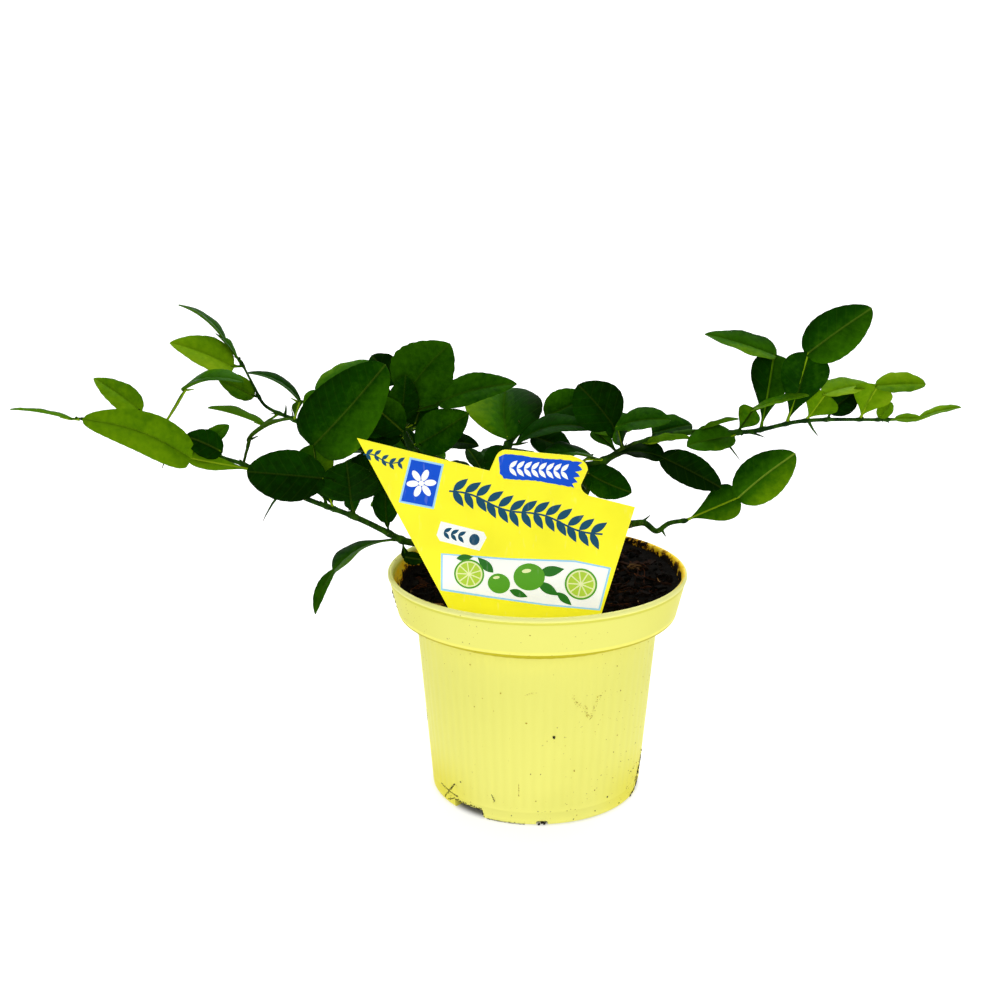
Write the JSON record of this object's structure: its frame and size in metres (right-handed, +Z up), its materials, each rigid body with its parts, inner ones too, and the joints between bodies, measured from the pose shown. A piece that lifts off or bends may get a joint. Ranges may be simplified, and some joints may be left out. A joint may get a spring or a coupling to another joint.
{
  "type": "potted kaffir lime tree",
  "caption": "Young kaffir lime tree with winged leaves and thorns on spreading branches, in a round pale yellow nursery pot with a plain plant label.",
  "frame": {"origin": "centre of the pot's flat underside", "axes": "+X to the right along the plant's longest spread, +Y away from the viewer, +Z up"},
  "size_m": [0.3906, 0.1875, 0.2153],
  "materials": {
    "pot": "satin",
    "soil": "matt, crumbly",
    "label": "semi-gloss print",
    "bark": "matt",
    "foliage": "waxy satin"
  },
  "bodies": {
    "root": {"pot": "pot", "soil": "soil", "plant_label": "label", "trunk": "bark", "left_low_bough": "bark", "left_upper_bough": "bark", "centre_left_bough": "bark", "centre_bough": "bark", "right_upper_bough": "bark", "right_low_bough": "bark", "back_left_bough": "bark", "back_middle_bough": "bark", "back_right_bough": "bark", "left_low_foliage": "foliage", "left_upper_foliage": "foliage", "centre_left_foliage": "foliage", "centre_foliage": "foliage", "right_upper_foliage": "foliage", "right_low_foliage": "foliage", "back_left_foliage": "foliage", "back_middle_foliage": "foliage", "back_right_foliage": "foliage"}
  },
  "joints": []
}
